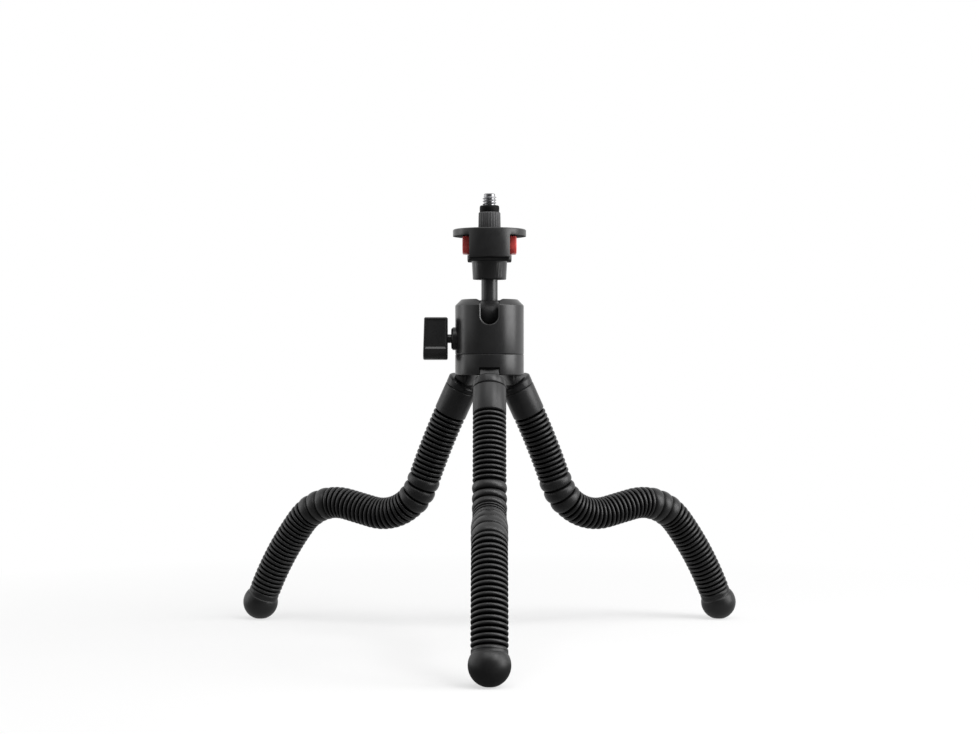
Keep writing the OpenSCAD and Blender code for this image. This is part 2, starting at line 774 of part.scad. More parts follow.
// A bent length: rings down the outside, then back up through the bore
module bent_sleeve(zone) {
    outside = outer_rings(rib_runs[zone]);
    rings = concat(outside, bore_rings(outside[0][0], outside[len(outside) - 1][0]));
    points = [for (ring = rings) each ring_points(ring[0], ring[1])];
    sides = [for (k = [0:sleeve_sides - 1]) [k, (k + 1) % sleeve_sides]];
    faces = [
        for (i = [0:len(rings) - 1], side = sides)
            let (here = i * sleeve_sides, next = (i + 1) % len(rings) * sleeve_sides)
            each [
                [here + side[0], here + side[1], next + side[1]],
                [here + side[0], next + side[1], next + side[0]],
            ],
    ];
    polyhedron(points, faces);
}

module leg_sleeve(leg, zone) {
    color(black_rubber) on_leg(leg) {
        if (zone_turn[zone] == 0) straight_sleeve(zone);
        else bent_sleeve(zone);
    }
}

// Rod along one zone of the centre line, straight or in an arc
module zone_rod(zone) {
    at = path_start + zone_start(zone);
    heading = heading_at(zone);
    turn = zone_turn[zone];
    if (turn == 0) {
        along_leg(at, heading) cylinder(d = core_d, h = zone_len[zone]);
    } else {
        bend_r = zone_len[zone] * 180 / (PI * abs(turn));
        side = sign(turn);
        centre = at + side * bend_r * [-sin(heading), cos(heading)];
        from = heading - side * 90 + min(turn, 0);
        translate([centre[0], 0, centre[1]]) rotate([90, 0, 0]) rotate([0, 0, from])
            rotate_extrude(angle = abs(turn)) translate([bend_r, 0]) circle(d = core_d);
    }
}

// The core's upper end is crimped in the ferrule, and its lower end is crimped in the foot
module leg_core(leg, zone) {
    crimp_len = core_seat - fixed_gap + crimp_out;
    foot_at = path(sleeve_to);
    color(dark_metal) on_leg(leg) {
        zone_rod(zone);
        if (zone == 0) along_leg(hinge_at, spread_heading)
            translate([0, 0, ferrule_end + crimp_out - crimp_len]) cylinder(d = crimp_d, h = crimp_len);
        if (zone == 4) along_leg(foot_at[0], foot_at[1])
            translate([0, 0, -crimp_out]) cylinder(d = crimp_d, h = crimp_len);
    }
}

hub();
leg_hinge_pins();
head_housing();
ball_seat();
ball();
stem();
lock_bush();
lock_screw();
lock_knob();
release_base();
release_housing();
left_release_button();
right_release_button();
release_spring();
camera_screw();
screw_ring();
seat_pad();
for (k = [0:2]) {
    leg_cap(k);
    leg_ferrule(k);
    leg_foot(k);
    for (zone = [0:4]) {
        leg_sleeve(k, zone);
        leg_core(k, zone);
    }
}
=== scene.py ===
"""Looks of a table-top tripod.

It has three bendable ribbed legs, a ball head with a lock knob, and a quick release. Sizes of pieces are
in millimetres, as in the part's source, and each mesh is brought to metres when its piece is made. The
camera, the floor and the lamps are placed in metres.
"""

import math

import bmesh
import bpy
from mathutils import Matrix, Vector


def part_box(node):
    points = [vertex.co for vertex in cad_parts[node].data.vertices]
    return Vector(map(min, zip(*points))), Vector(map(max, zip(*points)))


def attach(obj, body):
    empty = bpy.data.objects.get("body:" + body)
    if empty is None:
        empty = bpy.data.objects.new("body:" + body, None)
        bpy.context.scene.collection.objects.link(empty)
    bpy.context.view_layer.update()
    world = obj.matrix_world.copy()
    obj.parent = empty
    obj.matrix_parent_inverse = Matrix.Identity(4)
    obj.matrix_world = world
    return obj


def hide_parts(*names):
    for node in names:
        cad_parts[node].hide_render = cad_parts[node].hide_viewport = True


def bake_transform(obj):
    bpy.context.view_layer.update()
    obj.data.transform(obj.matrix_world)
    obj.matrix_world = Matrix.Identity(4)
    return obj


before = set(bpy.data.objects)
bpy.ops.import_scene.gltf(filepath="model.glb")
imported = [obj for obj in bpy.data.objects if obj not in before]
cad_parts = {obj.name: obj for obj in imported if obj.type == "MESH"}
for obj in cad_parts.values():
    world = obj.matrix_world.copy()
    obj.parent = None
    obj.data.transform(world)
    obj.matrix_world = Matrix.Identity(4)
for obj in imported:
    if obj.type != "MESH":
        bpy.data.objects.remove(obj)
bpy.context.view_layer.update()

MM = 0.001


# Sizes that the CAD boxes give

def box_mm(node):
    """Lowest and highest corner of a CAD node, in millimetres."""
    low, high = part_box(node)
    return low / MM, high / MM


ball_low, ball_high = box_mm("ball")
BALL = (ball_low + ball_high) / 2
BALL_R = (ball_high.z - ball_low.z) / 2
AXIS = Vector((0.0, BALL.y, 0.0))
head_low, head_high = box_mm("head_housing")
HEAD_BOTTOM = head_low.z
HEAD_TOP = head_high.z
HEAD_R = (head_high.x - head_low.x) / 2
knob_low, knob_high = box_mm("lock_knob")
LOCK = (knob_low + knob_high) / 2
KNOB_SIZE = knob_high - knob_low
bush_low, bush_high = box_mm("lock_bush")
BUSH_R = (bush_high.z - bush_low.z) / 2
ring_low, ring_high = box_mm("screw_ring")
RING_R = (ring_high.x - ring_low.x) / 2
seat_low, seat_high = box_mm("seat_pad")
SEAT_R = (seat_high.x - seat_low.x) / 2
screw_low, screw_high = box_mm("camera_screw")
pin_low, pin_high = box_mm("leg_hinge_pins")
spring_low, spring_high = box_mm("release_spring")

# Gap between a piece and the bore that it sits in
FIT_GAP = 0.02

# Sizes of the ball head's housing
SWING_GAP = 0.3
CAVITY_R = BALL_R + SWING_GAP
BORE_RELIEF = 0.15
BODY_BORE_R = CAVITY_R + BORE_RELIEF
LIP_R = 7.1
MOUTH_TOP_R = 9.3
HEAD_BEVEL = 2.8
HEAD_FOOT_BEVEL = 0.25
NOTCH_R = 4.05
NOTCH_SHOULDER_R = 2.4
RIM_CHAMFER = 0.5
# Radius outside which the housing's edges are rounded
OUTSIDE_FROM_R = MOUTH_TOP_R + 0.5
# The notch's cutter: how far in it starts, and how far it reaches out of the housing's front and top
NOTCH_IN = CAVITY_R / 3
NOTCH_OUT = 1.0
NOTCH_OVER = 2.0
# Turn in degrees that keeps the corners of the housing's facets off the middle of the notch
HOUSING_TURN = 2.5
# Length of the cutter for the bush's hole, and how far its middle lies outside the housing
BUSH_CUT = 12.0
BUSH_CUT_OUT = 2.0

# Sizes of the lock knob: its taper, the flat left under it, its border and its recess
KNOB_TAPER = 0.6
KNOB_FLAT = 0.1
KNOB_BORDER = 1.0
RECESS = 0.5
RECESS_SLOPE = 0.72
RECESS_LIFT = 0.4
# The faces that take a recess: their smallest area, and how squarely they look to the front or back
RECESS_AREA = 40.0
RECESS_FACING = 0.99
# How far the corners of a button's face may lie behind its front
BUTTON_FACE_REACH = 0.1

# Sizes of the camera screw
STUD_R = 3.175
STUD_TIP = 0.35
SCREW_HEAD_R = 4.6
SCREW_HEAD_H = 0.8
THREAD_PITCH = 1.27
THREAD_DEPTH = 0.62
THREAD_CORE_R = STUD_R - THREAD_DEPTH
THREAD_RUN_IN = 0.2
# How far the thread starts under the seat's top and ends under the stud's top
THREAD_SUNK = 0.6
THREAD_SHORT = 0.5
# Section of the thread: radius, and rise over its start
THREAD_RIDGE = ((THREAD_CORE_R - 0.1, 0.1), (STUD_R, 0.5), (STUD_R, 0.7), (THREAD_CORE_R - 0.1, 1.1))

# Flutes of the ring: half a flute from its middle as shares of half its width and of its depth
FLUTES = 24
FLUTE_DEPTH = 0.15
HALF_FLUTE = ((0.0, 1.0), (0.18, 0.9), (0.36, 0.35), (0.5, 0.0), (1.0, 0.0))

# Edges of the rubber seat: how far each corner lies in from the seat's side and from its end
SEAT_LOW_EDGE = ((0.3, 0.0), (0.05, 0.25), (0.0, 0.8))
SEAT_TOP_EDGE = ((0.0, 0.8), (0.1, 0.35), (0.4, 0.0))
SEAT_LEAD = 0.3

# Sizes of a leg
LEG_AZIMUTH = {"front": -90.0, "left": 150.0, "right": 30.0}
HINGE_R = 11.1
HINGE = Vector((HINGE_R, 0.0, (pin_low.z + pin_high.z) / 2))
SPREAD = 27.5
FERRULE_FROM = 8.5
FERRULE_TO = 21.7
FERRULE_R = 7.5
FERRULE_CHAMFER = 0.4
# Middle of the chamfer round the cap's top, its reach up and down, and how far that top leans outwards
CAP_TOP = 5.3
CAP_TOP_REACH = 0.6
CAP_LEAN = 8.0
CREST_R = 7.5
BORE_R = 3.35
CORE_R = 3.0
CORE_SEAT = 6.0
FERRULE_BORE_R = CORE_R + 0.2

# A foot: its ball, then its outline up the leg as radius and height, from the lip for the neck
FOOT_R = 8.5
FOOT_LIP_R = 7.72
SKIRT_R = 7.35
SKIRT_TOP = 6.8
SKIRT_LINE_DEPTH = 0.16
SKIRT_LINE_R = SKIRT_R - SKIRT_LINE_DEPTH
FOOT_NECK = ((7.62, 0.13), (7.5, 0.2), (7.4, 0.32), (SKIRT_R, 0.55))
FOOT_LINE = ((SKIRT_R, 4.85), (SKIRT_LINE_R, 4.95), (SKIRT_LINE_R, 5.1), (SKIRT_R, 5.2))
FOOT_EDGE = ((SKIRT_R, 5.75), (7.27, 6.1), (7.08, 6.4), (6.85, 6.6), (6.55, 6.74), (6.3, SKIRT_TOP))

# Turns and lengths of the leg's zones: upper, elbow, mid, hump, lower and foot
UPPER_LEN = 35.3
UPPER_TURN = -6.0
ELBOW_TURN = 80.5
ELBOW_R = 25.0
MID_LEN = 14.7
HUMP_TURN = 61.5
HUMP_R = 27.7
LOWER_LEN = 48.0
LOWER_TURN = -16.0
ZONE_TURN = (UPPER_TURN, ELBOW_TURN, 0.0, -HUMP_TURN, LOWER_TURN, 0.0)
ZONE_LEN = (
    UPPER_LEN,
    math.radians(ELBOW_TURN) * ELBOW_R,
    MID_LEN,
    math.radians(HUMP_TURN) * HUMP_R,
    LOWER_LEN - SKIRT_TOP,
    SKIRT_TOP,
)
ELBOW_FROM = ZONE_LEN[0]
ELBOW_TO = ELBOW_FROM + ZONE_LEN[1]
HUMP_FROM = ELBOW_TO + ZONE_LEN[2]
HUMP_TO = HUMP_FROM + ZONE_LEN[3]
LEG_LEN = sum(ZONE_LEN)
SLEEVE_TO = LEG_LEN - SKIRT_TOP

GROOVE_DEPTH = 1.5
# Half of a rib from its groove to its crest: share of its length, and depth under the crest
REGULAR_RIB = (
    (0.0, 1.5), (0.15, 1.5), (0.18, 0.8), (0.22, 0.36), (0.28, 0.13), (0.37, 0.03), (0.5, 0.0),
)
ELBOW_RIB = (
    (0.0, 1.1), (0.04, 1.05), (0.08, 0.62), (0.13, 0.3), (0.21, 0.06), (0.32, -0.13), (0.5, -0.22),
)
HUMP_RIB = (
    (0.0, 0.75), (0.04, 0.7), (0.08, 0.42), (0.14, 0.2), (0.22, 0.03), (0.34, -0.1), (0.5, -0.15),
)
# Runs of ribs down the leg: where a run starts, the half rib, and the length of one rib
RIB_PITCH = 2.35
RIB_RUNS = (
    (0.5, REGULAR_RIB, RIB_PITCH),
    (32.5, ELBOW_RIB, 5.1),
    (47.8, REGULAR_RIB, RIB_PITCH),
    (94.8, HUMP_RIB, 4.8),
    (109.2, REGULAR_RIB, RIB_PITCH),
)
# How far a bend stays clear of a split, so that both sides of the split move alike
BEND_CLEAR = 3.2
# How far a bend reaches out of its zone at the other end
BEND_OVER = 1.0

# Sides and steps of round shapes
TURNED_SIDES = 96
SLEEVE_SIDES = 48
CORE_SIDES = 16
NARROW_SIDES = 64
FOOT_STEPS = 30
CAVITY_STEPS = 10
NOTCH_STEPS = 24
SHOULDER_STEPS = 8
THREAD_STEPS = 48
# Longest steps along the bore and the core of a leg
BORE_STEP = 3.0
CORE_STEP = 2.0

# Roundings of edges
PLASTIC_EDGE = 0.15
HUB_EDGE = 0.12
CAP_EDGE = 0.18
HOUSING_EDGE = 0.2
BUTTON_EDGE = 0.2
BUTTON_FACE_EDGE = 0.7
KNOB_EDGE = 0.7

# Angles in degrees: facets that count as flat, edges that count as sharp, and those that break the shading
FLAT = 1.0
SHARP = 30.0
KNOB_SHARP = 60.0
CREASE = 38.0
RIB_CREASE = 75.0
KNOB_CREASE = 22.0

# Distances within which vertices are merged
MERGE = 0.0005
CAD_MERGE = 0.001
# Distance along a leg within which two grooves are one
SAME_GROOVE = 0.01
# Faces whose normal has a Z under this look down, and get painted shade
DOWNWARDS = -0.9


# Finishes

# Span of the noise that is spread over the two ends of a finish
NOISE_LOW = 0.3
NOISE_HIGH = 0.7
# Scales of noise in one metre, and their detail
SHADE_SCALE = 160.0
GLOSS_SCALE = 420.0
GRAIN_DETAIL = 2.0
METAL_SHADE_SCALE = 300.0
MARK_SCALE = 30.0
MARK_DETAIL = 6.0
MARK_STRENGTH = 0.12
MARK_DEPTH = 0.03
# Painted shade in a groove: its near-black colour, and the share of its depth at which the gloss is taken
# away
PAINTED_GROOVE_SHADE = (0.001, 0.001, 0.001, 1.0)
GLOSS_GONE = 0.6
GREY_BLUE = 1.03


class Finish:
    """A node material and the record's slot that it belongs to."""

    def __init__(self, name, slot):
        self.slot = slot
        self.material = bpy.data.materials.new(name)
        self.material.use_nodes = True
        self.nodes = self.material.node_tree.nodes
        self.links = self.material.node_tree.links
        self.shader = self.nodes["Principled BSDF"]
        self.place = self.nodes.new("ShaderNodeTexCoord").outputs["Object"]

    def speckle(self, per_metre, detail=4.0, stretch=None):
        """Noise on the object's own coordinates."""
        at = self.place
        if stretch:
            mapping = self.nodes.new("ShaderNodeMapping")
            mapping.inputs["Scale"].default_value = stretch
            self.links.new(at, mapping.inputs["Vector"])
            at = mapping.outputs["Vector"]
        noise = self.nodes.new("ShaderNodeTexNoise")
        noise.inputs["Scale"].default_value = per_metre
        noise.inputs["Detail"].default_value = detail
        self.links.new(at, noise.inputs["Vector"])
        return noise.outputs["Fac"]

    def shades(self, noise, dark, light):
        """Base colour between two shades."""
        ramp = self.nodes.new("ShaderNodeValToRGB")
        ramp.color_ramp.elements[0].position = NOISE_LOW
        ramp.color_ramp.elements[1].position = NOISE_HIGH
        ramp.color_ramp.elements[0].color = (*dark, 1.0)
        ramp.color_ramp.elements[1].color = (*light, 1.0)
        self.links.new(noise, ramp.inputs["Fac"])
        self.links.new(ramp.outputs["Color"], self.shader.inputs["Base Color"])

    def roughness(self, noise, low, high):
        """Roughness between two values."""
        spread = self.nodes.new("ShaderNodeMapRange")
        spread.inputs["From Min"].default_value = NOISE_LOW
        spread.inputs["From Max"].default_value = NOISE_HIGH
        spread.inputs["To Min"].default_value = low
        spread.inputs["To Max"].default_value = high
        self.links.new(noise, spread.inputs["Value"])
        self.links.new(spread.outputs["Result"], self.shader.inputs["Roughness"])

    def grain(self, noise, strength, depth_mm):
        """Fine relief of the surface."""
        bump = self.nodes.new("ShaderNodeBump")
        bump.inputs["Strength"].default_value = strength
        bump.inputs["Distance"].default_value = depth_mm * MM
        self.links.new(noise, bump.inputs["Height"])
        self.links.new(bump.outputs["Normal"], self.shader.inputs["Normal"])

    def sheen(self, specular, metallic=0.0):
        """How the whole surface throws light back."""
        self.shader.inputs["Specular IOR Level"].default_value = specular
        self.shader.inputs["Metallic"].default_value = metallic

    def grooves(self, level):
        """Painted shade in the grooves: black colour and no gloss there, with this specular level on the
        crests.
        """
        deep = self.nodes.new("ShaderNodeAttribute")
        deep.attribute_name = "groove"
        colour = self.shader.inputs["Base Color"].links[0].from_socket
        shade = self.nodes.new("ShaderNodeMix")
        shade.data_type = "RGBA"
        shade.inputs["B"].default_value = PAINTED_GROOVE_SHADE
        self.links.new(deep.outputs["Fac"], shade.inputs["Factor"])
        self.links.new(colour, shade.inputs["A"])
        self.links.new(shade.outputs["Result"], self.shader.inputs["Base Color"])
        gloss = self.nodes.new("ShaderNodeMapRange")
        gloss.inputs["From Max"].default_value = GLOSS_GONE
        gloss.inputs["To Min"].default_value = level
        gloss.inputs["To Max"].default_value = 0.0
        self.links.new(deep.outputs["Fac"], gloss.inputs["Value"])
        self.links.new(gloss.outputs["Result"], self.shader.inputs["Specular IOR Level"])


def moulded(name, slot, dark, light, rough, grain, specular=0.5):
    """A moulded surface: broad shade variation, patchy gloss, and a grain of a scale, strength and depth."""
    made = Finish(name, slot)
    made.shades(made.speckle(SHADE_SCALE), dark, light)
    made.roughness(made.speckle(GLOSS_SCALE), *rough)
    per_metre, strength, depth_mm = grain
    made.grain(made.speckle(per_metre, GRAIN_DETAIL), strength, depth_mm)
    made.sheen(specular)
    return made


def turned_metal(name, slot, dark, light, rough, stretch, specular=0.5, metallic=0.0):
    """Turned metal: fine marks, stretched round its axis."""
    made = Finish(name, slot)
    marks = made.speckle(MARK_SCALE, MARK_DETAIL, stretch)
    made.shades(made.speckle(METAL_SHADE_SCALE), dark, light)
    made.roughness(marks, *rough)
    made.grain(marks, MARK_STRENGTH, MARK_DEPTH)
    made.sheen(specular, metallic)
    return made


def grey(level):
    """A grey with a trace of blue."""
    return (level, level, level * GREY_BLUE)


ribbed_rubber = moulded(
    "ribbed_rubber", "black_rubber", grey(0.009), grey(0.013),
    rough=(0.36, 0.44), grain=(5200.0, 0.15, 0.03),
)
# Painted shade in the ribs' grooves, the deeper the darker
ribbed_rubber.grooves(0.43)
foot_rubber = moulded(
    "foot_rubber", "black_rubber", grey(0.007), grey(0.01),
    rough=(0.36, 0.44), grain=(4200.0, 0.2, 0.03), specular=0.36,
)
seat_rubber = moulded(
    "seat_rubber", "black_rubber", grey(0.004), grey(0.006),
    rough=(0.5, 0.6), grain=(4200.0, 0.25, 0.04), specular=0.1,
)
satin_black = moulded(
    "satin_black", "black_plastic", grey(0.012), grey(0.016),
    rough=(0.28, 0.34), grain=(6500.0, 0.12, 0.02),
)
# Painted shade: a darker, duller copy of the satin black for the faces that look down
underside_painted_shade = moulded(
    "underside_painted_shade", "black_plastic", grey(0.006), grey(0.009),
    rough=(0.6, 0.7), grain=(6500.0, 0.12, 0.02), specular=0.02,
)
knob_black = moulded(
    "knob_black", "black_plastic", grey(0.012), grey(0.016),
    rough=(0.26, 0.32), grain=(6500.0, 0.12, 0.02),
)
ferrule_black = moulded(
    "ferrule_black", "black_plastic", grey(0.014), grey(0.018),
    rough=(0.36, 0.42), grain=(6500.0, 0.15, 0.02), specular=0.35,
)
cap_black = moulded(
    "cap_black", "black_plastic", grey(0.012), grey(0.016),
    rough=(0.28, 0.34), grain=(5000.0, 0.1, 0.02), specular=0.32,
)
ring_grey = moulded(
    "ring_grey", "black_plastic", grey(0.05), grey(0.064),
    rough=(0.4, 0.5), grain=(6500.0, 0.15, 0.02), specular=0.35,
)
button_red = moulded(
    "button_red", "red_plastic", (0.72, 0.075, 0.07), (0.78, 0.09, 0.08),
    rough=(0.3, 0.38), grain=(6500.0, 0.1, 0.02),
)
seat_nylon = moulded(
    "seat_nylon", "ball_seat_nylon", (0.6, 0.58, 0.53), (0.7, 0.68, 0.63),
    rough=(0.4, 0.5), grain=(4000.0, 0.2, 0.03),
)
dark_steel = turned_metal(
    "dark_steel", "dark_steel", grey(0.018), grey(0.026),
    rough=(0.26, 0.34), stretch=(1.0, 1.0, 90.0),
)
# Painted shade: the ball's steel, darker and less glossy than the stem's, for the shade inside the housing
ball_painted_shade = turned_metal(
    "ball_painted_shade", "dark_steel", grey(0.012), grey(0.016),
    rough=(0.4, 0.48), stretch=(1.0, 1.0, 90.0), specular=0.25,
)
thread_steel = turned_metal(
    "thread_steel", "dark_steel", grey(0.28), grey(0.36),
    rough=(0.22, 0.32), stretch=(1.0, 1.0, 60.0), metallic=1.0,
)
core_wire = turned_metal(
    "core_wire", "core_wire", grey(0.5), grey(0.58),
    rough=(0.35, 0.5), stretch=(20.0, 20.0, 20.0), metallic=1.0,
)


# Making of pieces

def piece(name, bm, finish, crease=CREASE):
    """A mesh object of a bmesh in millimetres, with its place in its mesh."""
    bmesh.ops.remove_doubles(bm, verts=bm.verts, dist=MERGE)
    bmesh.ops.recalc_face_normals(bm, faces=bm.faces)
    bmesh.ops.scale(bm, vec=(MM, MM, MM), verts=bm.verts)
    mesh = bpy.data.meshes.new(name)
    bm.to_mesh(mesh)
    bm.free()
    if "custom_normal" in mesh.attributes:
        mesh.attributes.remove(mesh.attributes["custom_normal"])
    mesh.materials.clear()
    mesh.materials.append(finish.material)
    mesh.polygons.foreach_set("material_index", [0] * len(mesh.polygons))
    mesh.polygons.foreach_set("use_smooth", [True] * len(mesh.polygons))
    mesh.set_sharp_from_angle(angle=math.radians(crease))
    obj = bpy.data.objects.new(name, mesh)
    bpy.context.scene.collection.objects.link(obj)
    return obj


def paint_shade_on_undersides(obj, finish):
    """A second finish that paints shade on the faces that look down: darker, rougher and nearly without
    gloss.
    """
    obj.data.materials.append(finish.material)
    down = [int(face.normal.z < DOWNWARDS) for face in obj.data.polygons]
    obj.data.polygons.foreach_set("material_index", down)


def rigid(name, bm, finish, body, *nodes, crease=CREASE):
    """A piece that moves with one body and stands for CAD nodes."""
    obj = piece(name, bm, finish, crease)
    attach(obj, body)
    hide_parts(*nodes)
    return obj


def cad_copy(node, join_facets=True):
    """A merged copy of a CAD node's mesh, with its flat facets joined where that is asked for."""
    bm = bmesh.new()
    bm.from_mesh(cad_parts[node].data)
    bmesh.ops.scale(bm, vec=(1 / MM, 1 / MM, 1 / MM), verts=bm.verts)
    bmesh.ops.remove_doubles(bm, verts=bm.verts, dist=CAD_MERGE)
    if join_facets:
        bmesh.ops.dissolve_limit(bm, angle_limit=math.radians(FLAT), verts=bm.verts, edges=bm.edges)
    return bm


def sharp_edges(bm, angle=SHARP):
    """Edges where two faces meet at more than an angle."""
    limit = math.radians(angle)
    return [e for e in bm.edges if len(e.link_faces) == 2 and e.calc_face_angle() > limit]


def round_edges(bm, edges, width, segments=2):
    """Rounds edges of a mesh."""
    bmesh.ops.bevel(
        bm,
        geom=edges,
        offset=width,
        offset_type="OFFSET",
        segments=segments,
        profile=0.5,
        affect="EDGES",
        material=-1,
        clamp_overlap=True,
    )


def of_kind(geom, kind):
    """The elements of one kind in what an operator gives back."""
    return [element for element in geom if isinstance(element, kind)]


def chain(bm, places, closed):
    """Vertices at places, and the edges from each to the next."""
    verts = [bm.verts.new(place) for place in places]
    after = verts[1:] + verts[:1] if closed else verts[1:]
    return verts, [bm.edges.new(pair) for pair in zip(verts, after)]


def spun(profile, sides=TURNED_SIDES):
    """A turned solid: a profile of (radius, height) spun round the Z axis."""
    bm = bmesh.new()
    open_bore = profile[0][0] > 0.0 and profile[-1][0] > 0.0
    verts, edges = chain(bm, [(r, 0.0, z) for r, z in profile], open_bore)
    bmesh.ops.spin(
        bm,
        geom=verts + edges,
        cent=(0.0, 0.0, 0.0),
        axis=(0.0, 0.0, 1.0),
        angle=math.tau,
        steps=sides,
        use_merge=True,
        use_duplicate=False,
    )
    bmesh.ops.remove_doubles(bm, verts=bm.verts, dist=MERGE)
    bmesh.ops.recalc_face_normals(bm, faces=bm.faces)
    return bm


def moved(bm, matrix):
    """The mesh itself, moved by a matrix."""
    bmesh.ops.transform(bm, matrix=matrix, verts=bm.verts)
    return bm


def cut_off(bm, point, beyond):
    """The mesh itself without what lies beyond a plane, closed at the cut."""
    everything = bm.verts[:] + bm.edges[:] + bm.faces[:]
    bmesh.ops.bisect_plane(bm, geom=everything, plane_co=point, plane_no=beyond, clear_outer=True)
    bmesh.ops.holes_fill(bm, edges=[e for e in bm.edges if e.is_boundary], sides=0)
    return bm


def carve(bm, *cutters):
    """Cuts meshes out of a mesh."""
    scratch = []
    for shape in (bm, *cutters):
        mesh = bpy.data.meshes.new("scratch")
        bmesh.ops.recalc_face_normals(shape, faces=shape.faces)
        shape.to_mesh(mesh)
        shape.free()
        obj = bpy.data.objects.new("scratch", mesh)
        bpy.context.scene.collection.objects.link(obj)
        scratch.append(obj)
    for tool in scratch[1:]:
        cut = scratch[0].modifiers.new("cut", "BOOLEAN")
        cut.operation = "DIFFERENCE"
        cut.solver = "EXACT"
        cut.object = tool
    solved = scratch[0].evaluated_get(bpy.context.evaluated_depsgraph_get())
    result = bmesh.new()
    result.from_mesh(solved.data)
    for obj in scratch:
        bpy.data.meshes.remove(obj.data)
    return result


# The legs

def arc_move(heading, length, turn):
    """Move along a line or an arc that starts with this heading, in a leg's own upright plane."""
    if abs(turn) < 1e-9:
        return Vector((math.cos(heading), 0.0, math.sin(heading))) * length
    radius = length / turn
    across = math.sin(heading + turn) - math.sin(heading)
    up = math.cos(heading) - math.cos(heading + turn)
    return Vector((across, 0.0, up)) * radius


def along(point, heading):
    """Matrix that takes +Z to a heading at a point."""
    return Matrix.Translation(point) @ Matrix.Rotation(math.pi / 2 - heading, 4, "Y")


FERRULE_HEADING = math.radians(SPREAD - 90.0)


def station(s):
    """Matrix of the leg's centre line at a distance along it."""
    heading = FERRULE_HEADING
    point = HINGE + arc_move(heading, FERRULE_TO + min(s, 0.0), 0.0)
    s = max(s, 0.0)
    for length, turn in zip(ZONE_LEN, ZONE_TURN):
        step = min(s, length)
        angle = math.radians(turn) * step / length
        point = point + arc_move(heading, step, angle)
        heading += angle
        s -= step
    return along(point, heading)


def leg_place(leg):
    """Matrix that takes a leg's own plane to the leg's bearing."""
    return Matrix.Translation(AXIS) @ Matrix.Rotation(math.radians(LEG_AZIMUTH[leg]), 4, "Z")


def extruded_ring(bm, edges, step):
    """Extrudes a ring of edges by a matrix, and returns the new ring's edges."""
    grown = bmesh.ops.extrude_edge_only(bm, edges=edges)["geom"]
    bmesh.ops.transform(bm, matrix=step, verts=of_kind(grown, bmesh.types.BMVert))
    return of_kind(grown, bmesh.types.BMEdge)


def stacked(bm, places, joined_ends):
    """Surface through one ring of edges at several places, with its ends joined or capped."""
    bmesh.ops.transform(bm, matrix=places[0], verts=bm.verts)
    first = bm.edges[:]
    last = first
    for before, after in zip(places, places[1:]):
        last = extruded_ring(bm, last, after @ before.inverted())
    if joined_ends:
        bmesh.ops.bridge_loops(bm, edges=first + last)
    else:
        bmesh.ops.holes_fill(bm, edges=first + last, sides=0)


def swept(rings, sides, joined_ends):
    """Surface through rings of (distance, radius) on the leg's centre line."""
    bm = bmesh.new()
    bmesh.ops.create_circle(bm, segments=sides, radius=1.0, cap_ends=False)
    stacked(bm, [station(s) @ Matrix.Diagonal((r, r, 1.0, 1.0)) for s, r in rings], joined_ends)
    return bm


def groove_shade(bm, rings, sides):
    """Keeps how deep each ring lies under the crests, from 0 to 1, as the attribute by which shade is
    painted into the grooves.
    """
    shade = bm.verts.layers.float.new("groove")
    bm.verts.ensure_lookup_table()
    for k, (_, r) in enumerate(rings):
        deep = min(max((CREST_R - r) / GROOVE_DEPTH, 0.0), 1.0)
        for vert in bm.verts[k * sides : (k + 1) * sides]:
            vert[shade] = deep
    return bm


def all_ribs():
    """Every rib down the leg: where it starts, its length and its whole shape."""
    ribs = []
    run_ends = [run[0] for run in RIB_RUNS[1:]] + [SLEEVE_TO]
    for (run_from, half_rib, pitch), run_to in zip(RIB_RUNS, run_ends):
        count = round((run_to - run_from) / pitch)
        length = (run_to - run_from) / count
        shape = half_rib + tuple((1.0 - share, depth) for share, depth in reversed(half_rib[1:-1]))
        ribs += [(run_from + k * length, length, shape) for k in range(count)]
    return ribs


RIBS = all_ribs()


def nearest_groove(s):
    """The groove that is nearest to a distance along the leg."""
    grooves = [rib[0] for rib in RIBS] + [SLEEVE_TO]
    return min(grooves, key=lambda groove: abs(groove - s))


ELBOW_SPLIT = nearest_groove((ELBOW_FROM + ELBOW_TO) / 2)
MID_SPLIT = nearest_groove((ELBOW_TO + HUMP_FROM) / 2)
HUMP_SPLIT = nearest_groove((HUMP_FROM + HUMP_TO) / 2)
# Lengths of a leg: name, start and end, the two bodies, where it bends between them, and its CAD zones
LENGTHS = (
    (
        "top",
        (0.0, ELBOW_SPLIT),
        ("upper", "elbow"),
        (ELBOW_FROM - BEND_OVER, ELBOW_SPLIT - BEND_CLEAR),
        ("upper",),
    ),
    (
        "elbow",
        (ELBOW_SPLIT, MID_SPLIT),
        ("elbow", "mid"),
        (ELBOW_SPLIT + BEND_CLEAR, ELBOW_TO + BEND_OVER),
        ("elbow", "mid"),
    ),
    (
        "hump",
        (MID_SPLIT, HUMP_SPLIT),
        ("mid", "hump"),
        (HUMP_FROM - BEND_OVER, HUMP_SPLIT - BEND_CLEAR),
        ("hump",),
    ),
    (
        "end",
        (HUMP_SPLIT, SLEEVE_TO),
        ("hump", "lower"),
        (HUMP_SPLIT + BEND_CLEAR, HUMP_TO + BEND_OVER),
        ("lower",),
    ),
)


